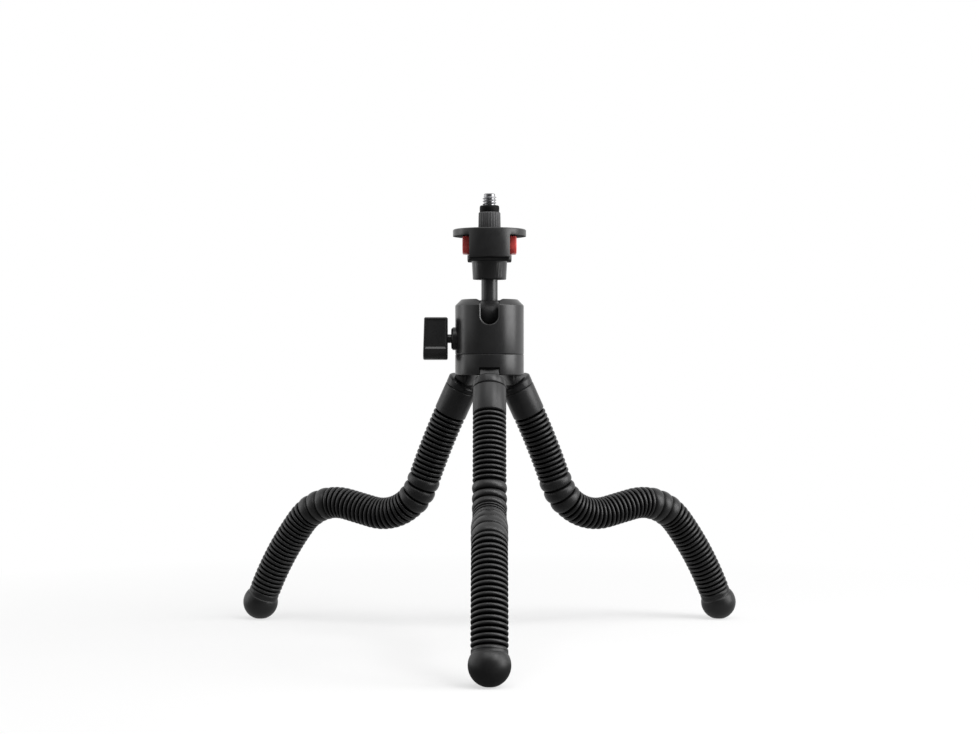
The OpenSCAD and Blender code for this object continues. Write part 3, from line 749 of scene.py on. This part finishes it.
def sleeve_rings(start, end):
    """Rings of the ribbed outside from one groove to another, then of the bore on the way back."""
    rings = [(0.0, CREST_R - GROOVE_DEPTH)] if start == 0.0 else []
    for rib_from, rib_len, shape in RIBS:
        if start - SAME_GROOVE < rib_from < end - SAME_GROOVE:
            rings += [(rib_from + share * rib_len, CREST_R - depth) for share, depth in shape]
    rings.append((end, rings[-1][1]))
    steps = math.ceil((end - start) / BORE_STEP)
    rings += [(end + (start - end) * k / steps, BORE_R) for k in range(steps + 1)]
    return rings


def core_rings(start, end):
    """Rings of a length of the core, which is seated in the ferrule and in the foot."""
    low = -CORE_SEAT if start == 0.0 else start
    high = end + CORE_SEAT if end == SLEEVE_TO else end
    steps = math.ceil((high - low) / CORE_STEP)
    return [(low + (high - low) * k / steps, CORE_R) for k in range(steps + 1)]


def bending(obj, leg, bend):
    """Bakes a piece of a leg into place; the span where it would bend between two bodies is worked out but
    not used.
    """
    start, end = [(leg_place(leg) @ station(s)).translation * MM for s in bend]
    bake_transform(obj)


def make_lengths(leg):
    """The ribbed sleeve and the core of a leg, in lengths."""
    for name, (start, end), parts, bend, zones in LENGTHS:
        rings = sleeve_rings(start, end)
        tube = groove_shade(swept(rings, SLEEVE_SIDES, True), rings, SLEEVE_SIDES)
        sleeve = piece(f"{leg}_leg_sleeve_{name}", moved(tube, leg_place(leg)), ribbed_rubber, RIB_CREASE)
        bending(sleeve, leg, bend)
        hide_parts(*[f"{leg}_leg_{zone}_sleeve" for zone in zones])
        rod = swept(core_rings(start, end), CORE_SIDES, False)
        core = piece(f"{leg}_leg_core_{name}", moved(rod, leg_place(leg)), core_wire)
        bending(core, leg, bend)
        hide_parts(*[f"{leg}_leg_{zone}_core" for zone in zones])


def foot_profile():
    """Half section of a ball foot with its skirt and the socket of the core, up the leg."""
    lip_at = math.acos(FOOT_LIP_R / FOOT_R)
    arc = [-math.pi / 2 + (lip_at + math.pi / 2) * k / FOOT_STEPS for k in range(FOOT_STEPS + 1)]
    ball = [(FOOT_R * math.cos(a), FOOT_R * math.sin(a)) for a in arc]
    ball[0] = (0.0, -FOOT_R)
    lip_z = ball[-1][1]
    neck = [(r, lip_z + rise) for r, rise in FOOT_NECK]
    socket_r = CORE_R + FIT_GAP
    socket_end = SKIRT_TOP - CORE_SEAT
    socket = [(socket_r, SKIRT_TOP), (socket_r, socket_end), (0.0, socket_end)]
    return [*ball, *neck, *FOOT_LINE, *FOOT_EDGE, *socket]


def make_foot(leg):
    """The ball foot of a leg, cut flat where it stands on the floor."""
    place = leg_place(leg) @ station(LEG_LEN) @ Matrix.Rotation(math.pi, 4, "X")
    foot = cut_off(moved(spun(foot_profile()), place), (0.0, 0.0, 0.0), (0.0, 0.0, -1.0))
    rigid(f"{leg}_leg_ball_foot", foot, foot_rubber, f"{leg}_leg_lower", f"{leg}_leg_foot")


def make_ferrule(leg):
    """The plain ferrule at the top of a leg."""
    ferrule = spun(
        (
            (FERRULE_BORE_R, FERRULE_FROM),
            (FERRULE_R - FERRULE_CHAMFER, FERRULE_FROM),
            (FERRULE_R, FERRULE_FROM + FERRULE_CHAMFER),
            (FERRULE_R, FERRULE_TO - FERRULE_CHAMFER),
            (FERRULE_R - FERRULE_CHAMFER, FERRULE_TO),
            (FERRULE_BORE_R, FERRULE_TO),
        )
    )
    round_edges(ferrule, sharp_edges(ferrule), PLASTIC_EDGE)
    moved(ferrule, leg_place(leg) @ along(HINGE, FERRULE_HEADING))
    rigid(f"{leg}_leg_plain_ferrule", ferrule, ferrule_black, f"{leg}_leg_upper", f"{leg}_leg_ferrule")


def make_cap(leg):
    """The cap of a leg with its hinge tongue, its top leaning up towards the outside."""
    cap = cad_copy(f"{leg}_leg_cap")
    to_leg = leg_place(leg) @ along(HINGE, FERRULE_HEADING)
    lean = Matrix.Translation((0.0, 0.0, CAP_TOP)) @ Matrix.Rotation(math.radians(-CAP_LEAN), 4, "Y")
    lean = to_leg @ lean @ Matrix.Translation((0.0, 0.0, -CAP_TOP)) @ to_leg.inverted()
    shoulder = [v for v in cap.verts if abs((to_leg.inverted() @ v.co).z - CAP_TOP) < CAP_TOP_REACH]
    bmesh.ops.transform(cap, matrix=lean, verts=shoulder)
    round_edges(cap, sharp_edges(cap), CAP_EDGE)
    rigid(f"{leg}_leg_hinge_cap", cap, cap_black, f"{leg}_leg_upper", f"{leg}_leg_cap")


for leg in LEG_AZIMUTH:
    make_lengths(leg)
    make_foot(leg)
    make_ferrule(leg)
    make_cap(leg)


# The head

hub = cad_copy("hub")
round_edges(hub, sharp_edges(hub), HUB_EDGE)
rigid("leg_hub", hub, satin_black, "base", "hub")


def housing_profile():
    """Half section of the ball head's housing, open through its bore."""
    lip_at = math.asin(LIP_R / CAVITY_R)
    arc = [lip_at + (math.pi / 2 - lip_at) * k / CAVITY_STEPS for k in range(CAVITY_STEPS + 1)]
    cavity = [(CAVITY_R * math.sin(a), BALL.z + CAVITY_R * math.cos(a)) for a in arc]
    return [
        (BODY_BORE_R, HEAD_BOTTOM),
        (HEAD_R - HEAD_FOOT_BEVEL, HEAD_BOTTOM),
        (HEAD_R, HEAD_BOTTOM + HEAD_FOOT_BEVEL),
        (HEAD_R, HEAD_TOP - HEAD_BEVEL),
        (HEAD_R - HEAD_BEVEL, HEAD_TOP),
        (MOUTH_TOP_R, HEAD_TOP),
        *cavity,
        (BODY_BORE_R, BALL.z),
    ]


def notch_outline(grow):
    """The notch from the front, grown all round: a round bottom, straight sides and rounded shoulders."""
    top = HEAD_TOP - BALL.z
    radius = NOTCH_R + grow
    low = [math.pi + math.pi * k / NOTCH_STEPS for k in range(1, NOTCH_STEPS)]
    bottom = [(radius * math.cos(a), radius * math.sin(a)) for a in low]
    right = []
    for k in range(SHOULDER_STEPS + 1):
        turn = math.pi * (1.0 - k / (2 * SHOULDER_STEPS))
        shoulder_r = NOTCH_SHOULDER_R - grow * (1.0 - k / SHOULDER_STEPS)
        across = NOTCH_R + NOTCH_SHOULDER_R + shoulder_r * math.cos(turn)
        right.append((across, top - NOTCH_SHOULDER_R + shoulder_r * math.sin(turn)))
    right.append((NOTCH_R + NOTCH_SHOULDER_R, top + NOTCH_OVER))
    return [(-x, z) for x, z in reversed(right)] + bottom + right


def outside_y(x, z):
    """Where the housing's front lies, seen at a place from the front."""
    shoulder = HEAD_TOP - HEAD_BEVEL - BALL.z
    radius = HEAD_R - max(z - shoulder, 0.0)
    return -math.sqrt(radius * radius - x * x)


def notch_cutter():
    """The notch in the front of the housing, with a chamfer round its rim."""
    plain = notch_outline(0.0)
    grown = notch_outline(RIM_CHAMFER)
    rings = (
        [(x, -NOTCH_IN, z) for x, z in plain],
        [(x, outside_y(x, z) + RIM_CHAMFER, z) for x, z in plain],
        [(x, outside_y(x, z), z) for x, z in grown],
        [(x, -HEAD_R - NOTCH_OUT, z) for x, z in grown],
    )
    bm = bmesh.new()
    loops = [chain(bm, ring, True)[1] for ring in rings]
    for near, far in zip(loops, loops[1:]):
        bmesh.ops.bridge_loops(bm, edges=near + far)
    bmesh.ops.holes_fill(bm, edges=loops[0] + loops[-1], sides=0)
    return moved(bm, Matrix.Translation((0.0, AXIS.y, BALL.z)))


def bush_cutter():
    """The hole for the bush in the side of the housing."""
    place = Matrix.Translation((-HEAD_R - BUSH_CUT_OUT, AXIS.y, LOCK.z))
    bm = bmesh.new()
    bmesh.ops.create_cone(
        bm,
        cap_ends=True,
        segments=NARROW_SIDES,
        radius1=BUSH_R + FIT_GAP,
        radius2=BUSH_R + FIT_GAP,
        depth=BUSH_CUT,
        matrix=place @ Matrix.Rotation(math.pi / 2, 4, "Y"),
    )
    return bm


housing = spun(housing_profile())
outer_edges = [e for e in sharp_edges(housing) if math.hypot(*e.verts[0].co.xy) > OUTSIDE_FROM_R]
round_edges(housing, outer_edges, HOUSING_EDGE)
moved(housing, Matrix.Translation(AXIS) @ Matrix.Rotation(math.radians(HOUSING_TURN), 4, "Z"))
housing = carve(housing, notch_cutter(), bush_cutter())
rigid("ball_housing", housing, satin_black, "base", "head_housing")

bush = cad_copy("lock_bush")
round_edges(bush, sharp_edges(bush), PLASTIC_EDGE)
rigid("lock_screw_bush", bush, cap_black, "base", "lock_bush")


# Lock knob

def recess_faces(bm):
    """The large faces in the knob's front and back."""
    return [f for f in bm.faces if abs(f.normal.y) > RECESS_FACING and f.calc_area() > RECESS_AREA]


def paddle():
    """A paddle that is round from front to back at its lower end, with a shallow recess on both sides."""
    bm = bmesh.new()
    bmesh.ops.create_cube(bm, size=1.0, matrix=Matrix.Translation(LOCK) @ Matrix.Diagonal((*KNOB_SIZE, 1.0)))
    outer_end = [v for v in bm.verts if v.co.x < LOCK.x and v.co.z > LOCK.z]
    bmesh.ops.translate(bm, vec=(KNOB_TAPER, 0.0, 0.0), verts=outer_end)
    across = [e for e in bm.edges if abs(e.verts[0].co.x - e.verts[1].co.x) > 2.0 * KNOB_TAPER]
    below = [e for e in across if e.verts[0].co.z < LOCK.z]
    round_edges(bm, below, KNOB_SIZE.y / 2 - KNOB_FLAT, segments=12)
    for border, depth in ((KNOB_BORDER, 0.0), (RECESS_SLOPE, -RECESS)):
        bmesh.ops.inset_individual(bm, faces=recess_faces(bm), thickness=border, depth=depth)
    ledge = [v for f in recess_faces(bm) for v in f.verts if v.co.z < LOCK.z]
    bmesh.ops.translate(bm, vec=(0.0, 0.0, RECESS_LIFT), verts=list(set(ledge)))
    round_edges(bm, sharp_edges(bm, KNOB_SHARP), KNOB_EDGE, segments=6)
    return bm


rigid("lock_paddle", paddle(), knob_black, "lock", "lock_knob", crease=KNOB_CREASE)


# Quick release

base = cad_copy("release_base")
round_edges(base, sharp_edges(base), PLASTIC_EDGE)
# Painted shade on the faces of the socket and the top that look down
paint_shade_on_undersides(rigid("release_socket", base, satin_black, "swivel", "release_base"), underside_painted_shade)
top = cad_copy("release_housing")
round_edges(top, sharp_edges(top), PLASTIC_EDGE)
paint_shade_on_undersides(rigid("release_top", top, satin_black, "swivel", "release_housing"), underside_painted_shade)
for side in ("left", "right"):
    button = cad_copy(f"{side}_release_button")
    face_from = max(abs(v.co.x) for v in button.verts) - BUTTON_FACE_REACH
    pressed_face = [e for e in sharp_edges(button) if min(abs(v.co.x) for v in e.verts) > face_from]
    round_edges(button, pressed_face, BUTTON_FACE_EDGE, segments=4)
    round_edges(button, sharp_edges(button), BUTTON_EDGE)
    rigid(f"{side}_button", button, button_red, f"{side}_button", f"{side}_release_button")

# Spring between the latches, in two halves
spring_mid = (spring_low + spring_high) / 2
for side, end_x in (("left", spring_low.x), ("right", spring_high.x)):
    coil = cut_off(cad_copy("release_spring", join_facets=False), spring_mid, (-end_x, 0.0, 0.0))
    half = piece(f"{side}_spring_half", coil, thread_steel)
    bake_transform(half)
    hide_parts("release_spring")


# Camera screw, fluted ring and rubber seat

def fluted_ring():
    """A ring with flutes down its side, a bevelled top edge and a bore."""
    half = math.pi / FLUTES
    flute = [(-share, deep) for share, deep in reversed(HALF_FLUTE[1:])] + list(HALF_FLUTE)
    places = []
    for share, deep in flute:
        reach = RING_R - FLUTE_DEPTH * deep
        places.append((reach * math.cos(share * half), reach * math.sin(share * half), 0.0))
    bm = bmesh.new()
    verts, edges = chain(bm, places, False)
    for k in range(1, FLUTES):
        turn = Matrix.Rotation(2.0 * half * k, 3, "Z")
        copied = bmesh.ops.duplicate(bm, geom=verts + edges)["geom"]
        bmesh.ops.rotate(bm, matrix=turn, verts=of_kind(copied, bmesh.types.BMVert))
    bmesh.ops.remove_doubles(bm, verts=bm.verts, dist=MERGE)
    bore = (STUD_R + FIT_GAP) / RING_R
    height = ring_high.z - ring_low.z
    # Heights up the ring, and its width there as a share of its widest
    levels = (
        (0.0, bore),
        (0.0, 0.985),
        (0.15, 1.0),
        (height - 0.6, 0.975),
        (height - 0.35, 0.96),
        (height, 0.9),
        (height, bore),
    )
    rings = [Matrix.Translation((0.0, 0.0, z)) @ Matrix.Diagonal((k, k, 1.0, 1.0)) for z, k in levels]
    stacked(bm, rings, True)
    return moved(bm, Matrix.Translation((0.0, AXIS.y, ring_low.z)))


def camera_stud():
    """The camera screw: head in the housing, plain shank, and a stud with a thread wound round it."""
    thread_from = seat_high.z - THREAD_SUNK
    bm = spun(
        (
            (0.0, screw_low.z),
            (SCREW_HEAD_R, screw_low.z),
            (SCREW_HEAD_R, screw_low.z + SCREW_HEAD_H),
            (STUD_R, screw_low.z + SCREW_HEAD_H),
            (STUD_R, thread_from - THREAD_RUN_IN),
            (THREAD_CORE_R, thread_from),
            (THREAD_CORE_R, screw_high.z - STUD_TIP),
            (THREAD_CORE_R - STUD_TIP, screw_high.z),
            (0.0, screw_high.z),
        ),
        NARROW_SIDES,
    )
    turns = (screw_high.z - THREAD_SHORT - THREAD_PITCH - thread_from) / THREAD_PITCH
    steps = round(turns * THREAD_STEPS)
    verts, edges = chain(bm, [(r, 0.0, thread_from + rise) for r, rise in THREAD_RIDGE], True)
    wound = bmesh.ops.spin(
        bm,
        geom=verts + edges,
        cent=(0.0, 0.0, 0.0),
        axis=(0.0, 0.0, 1.0),
        dvec=(0.0, 0.0, turns * THREAD_PITCH / steps),
        angle=turns * math.tau,
        steps=steps,
        use_duplicate=False,
    )
    last = of_kind(wound["geom_last"], bmesh.types.BMEdge)
    bmesh.ops.holes_fill(bm, edges=edges + last, sides=0)
    return moved(bm, Matrix.Translation(AXIS))


def seat_profile():
    """Half section of the rubber seat, open through its bore."""
    bore_r = STUD_R + FIT_GAP
    low_edge = [(SEAT_R - inside, seat_low.z + over) for inside, over in SEAT_LOW_EDGE]
    top_edge = [(SEAT_R - inside, seat_high.z - under) for inside, under in SEAT_TOP_EDGE]
    lead = [(STUD_R + SEAT_LEAD, seat_high.z), (bore_r, seat_high.z - SEAT_LEAD)]
    return [(bore_r, seat_low.z), *low_edge, *top_edge, *lead]


rigid("grip_ring", fluted_ring(), ring_grey, "screw", "screw_ring")
rigid("camera_stud", camera_stud(), thread_steel, "screw", "camera_screw")
seat = spun(seat_profile())
rigid("rubber_seat", moved(seat, Matrix.Translation(AXIS)), seat_rubber, "screw", "seat_pad")

# Finishes of the CAD nodes that show as they are
NODE_FINISH = {
    "leg_hinge_pins": dark_steel,
    "ball_seat": seat_nylon,
    "ball": ball_painted_shade,
    "stem": dark_steel,
    "lock_screw": dark_steel,
}
for node, finish in NODE_FINISH.items():
    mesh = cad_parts[node].data
    mesh.materials.clear()
    mesh.materials.append(finish.material)


# Camera, floor and light

WHITE = (1.0, 1.0, 1.0, 1.0)
SENSOR_WIDTH = 36.0
LENS = 68.1
CAMERA_BACK = 0.848
CAMERA_UP = 0.1237
# Spans in which gloss dims towards the camera: of the background's direction, and of the floor's Y
SKY_DIM = (-0.75, -0.35)
FLOOR_DIM = (0.0, 0.2)
# The floor's radius, how far it lies under the feet, and its shade and roughness where it catches light
FLOOR_R = 6.0
FLOOR_DROP = 0.0004
FLOOR_PAINT = 0.4
FLOOR_ROUGHNESS = 0.9
# Where the floor fades into the background, and how much of that it shows nearer than this
FLOOR_FADE = (0.1, 0.42)
FLOOR_NEAR = 0.6
AIM = (0.0, 0.0, 0.1)

camera = bpy.data.objects.new("camera", bpy.data.cameras.new("camera"))
bpy.context.scene.collection.objects.link(camera)
camera.data.sensor_width = SENSOR_WIDTH
camera.data.lens = LENS
camera.location = (0.0, AXIS.y * MM - CAMERA_BACK, CAMERA_UP)
camera.rotation_euler = (math.pi / 2, 0.0, 0.0)
bpy.context.scene.camera = camera
bpy.context.scene.view_settings.view_transform = "Standard"


def background_rays(nodes, links):
    """One for rays that see the background: the camera's, and those in gloss and glass."""
    path = nodes.new("ShaderNodeLightPath")
    total = path.outputs["Is Camera Ray"]
    for ray in ("Is Glossy Ray", "Is Transmission Ray"):
        add = nodes.new("ShaderNodeMath")
        add.operation = "ADD"
        add.use_clamp = True
        links.new(total, add.inputs[0])
        links.new(path.outputs[ray], add.inputs[1])
        total = add.outputs["Value"]
    return total


def front_dimmed(nodes, links, place, y_range, front):
    """One for the camera's rays, and for others a level that falls towards the camera's side."""
    axes = nodes.new("ShaderNodeSeparateXYZ")
    links.new(place, axes.inputs["Vector"])
    dim = nodes.new("ShaderNodeMapRange")
    dim.inputs["From Min"].default_value = y_range[0]
    dim.inputs["From Max"].default_value = y_range[1]
    dim.inputs["To Min"].default_value = front
    links.new(axes.outputs["Y"], dim.inputs["Value"])
    level = nodes.new("ShaderNodeMath")
    level.operation = "MAXIMUM"
    links.new(nodes.new("ShaderNodeLightPath").outputs["Is Camera Ray"], level.inputs[0])
    links.new(dim.outputs["Result"], level.inputs[1])
    return level.outputs["Value"]


def white_world(fill, front_gloss):
    """A white background, dimmer in gloss on the camera's side, and an even fill of light."""
    world = bpy.data.worlds.new("studio")
    world.use_nodes = True
    nodes, links = world.node_tree.nodes, world.node_tree.links
    light = nodes["Background"]
    light.inputs["Color"].default_value = WHITE
    light.inputs["Strength"].default_value = fill
    seen = nodes.new("ShaderNodeBackground")
    seen.inputs["Color"].default_value = WHITE
    facing = nodes.new("ShaderNodeTexCoord").outputs["Generated"]
    level = front_dimmed(nodes, links, facing, SKY_DIM, front_gloss)
    links.new(level, seen.inputs["Strength"])
    mix = nodes.new("ShaderNodeMixShader")
    links.new(background_rays(nodes, links), mix.inputs["Fac"])
    links.new(light.outputs["Background"], mix.inputs[1])
    links.new(seen.outputs["Background"], mix.inputs[2])
    links.new(mix.outputs["Shader"], nodes["World Output"].inputs["Surface"])
    bpy.context.scene.world = world


def floor_paint(front_gloss):
    """Pale paint that keeps the shadow near the object, and fades into the background."""
    material = bpy.data.materials.new("pale_floor")
    material.use_nodes = True
    nodes, links = material.node_tree.nodes, material.node_tree.links
    shader = nodes["Principled BSDF"]
    shader.inputs["Roughness"].default_value = FLOOR_ROUGHNESS
    shader.inputs["Specular IOR Level"].default_value = 0.0
    place = nodes.new("ShaderNodeTexCoord")
    reach = nodes.new("ShaderNodeVectorMath")
    reach.operation = "LENGTH"
    links.new(place.outputs["Object"], reach.inputs[0])
    fade = nodes.new("ShaderNodeMapRange")
    fade.inputs["From Min"].default_value = FLOOR_FADE[0]
    fade.inputs["From Max"].default_value = FLOOR_FADE[1]
    fade.inputs["To Min"].default_value = FLOOR_NEAR
    links.new(reach.outputs["Value"], fade.inputs["Value"])
    seen = background_rays(nodes, links)
    share = nodes.new("ShaderNodeMath")
    share.operation = "MULTIPLY"
    links.new(fade.outputs["Result"], share.inputs[0])
    links.new(seen, share.inputs[1])
    level = front_dimmed(nodes, links, place.outputs["Object"], FLOOR_DIM, front_gloss)
    paint = nodes.new("ShaderNodeMix")
    paint.data_type = "FLOAT"
    paint.inputs[2].default_value = FLOOR_PAINT
    links.new(seen, paint.inputs[0])
    links.new(level, paint.inputs[3])
    links.new(paint.outputs[0], shader.inputs["Base Color"])
    white = nodes.new("ShaderNodeEmission")
    white.inputs["Color"].default_value = WHITE
    links.new(level, white.inputs["Strength"])
    mix = nodes.new("ShaderNodeMixShader")
    links.new(share.outputs["Value"], mix.inputs["Fac"])
    links.new(shader.outputs["BSDF"], mix.inputs[1])
    links.new(white.outputs["Emission"], mix.inputs[2])
    links.new(mix.outputs["Shader"], nodes["Material Output"].inputs["Surface"])
    return material


def pale_floor(front_gloss):
    """A wide round floor just under the feet."""
    bm = bmesh.new()
    bmesh.ops.create_circle(bm, cap_ends=True, segments=TURNED_SIDES, radius=FLOOR_R)
    mesh = bpy.data.meshes.new("floor")
    bm.to_mesh(mesh)
    bm.free()
    mesh.materials.append(floor_paint(front_gloss))
    floor = bpy.data.objects.new("floor", mesh)
    floor.location = (0.0, 0.0, -FLOOR_DROP)
    bpy.context.scene.collection.objects.link(floor)


def soft_lamp(name, place, size, radiance):
    """A soft box of light at a place, aimed at the middle of the object."""
    lamp = bpy.data.lights.new(name, "AREA")
    lamp.shape = "RECTANGLE"
    lamp.size, lamp.size_y = size
    lamp.energy = radiance * math.pi * size[0] * size[1]
    obj = bpy.data.objects.new(name, lamp)
    obj.location = place
    obj.rotation_mode = "QUATERNION"
    obj.rotation_quaternion = (Vector(AIM) - Vector(place)).to_track_quat("-Z", "Y")
    bpy.context.scene.collection.objects.link(obj)


white_world(fill=0.28, front_gloss=0.1)
pale_floor(front_gloss=0.15)
soft_lamp("right_lamp", (1.1, -0.27, 0.45), size=(0.85, 0.9), radiance=4.4)
soft_lamp("key_lamp", (0.6, -0.57, 0.95), size=(0.5, 0.5), radiance=8.0)
soft_lamp("left_lamp", (-1.0, 0.25, 0.4), size=(0.3, 0.9), radiance=1.6)
soft_lamp("top_lamp", (-0.1, -0.55, 1.15), size=(0.8, 0.6), radiance=2.5)
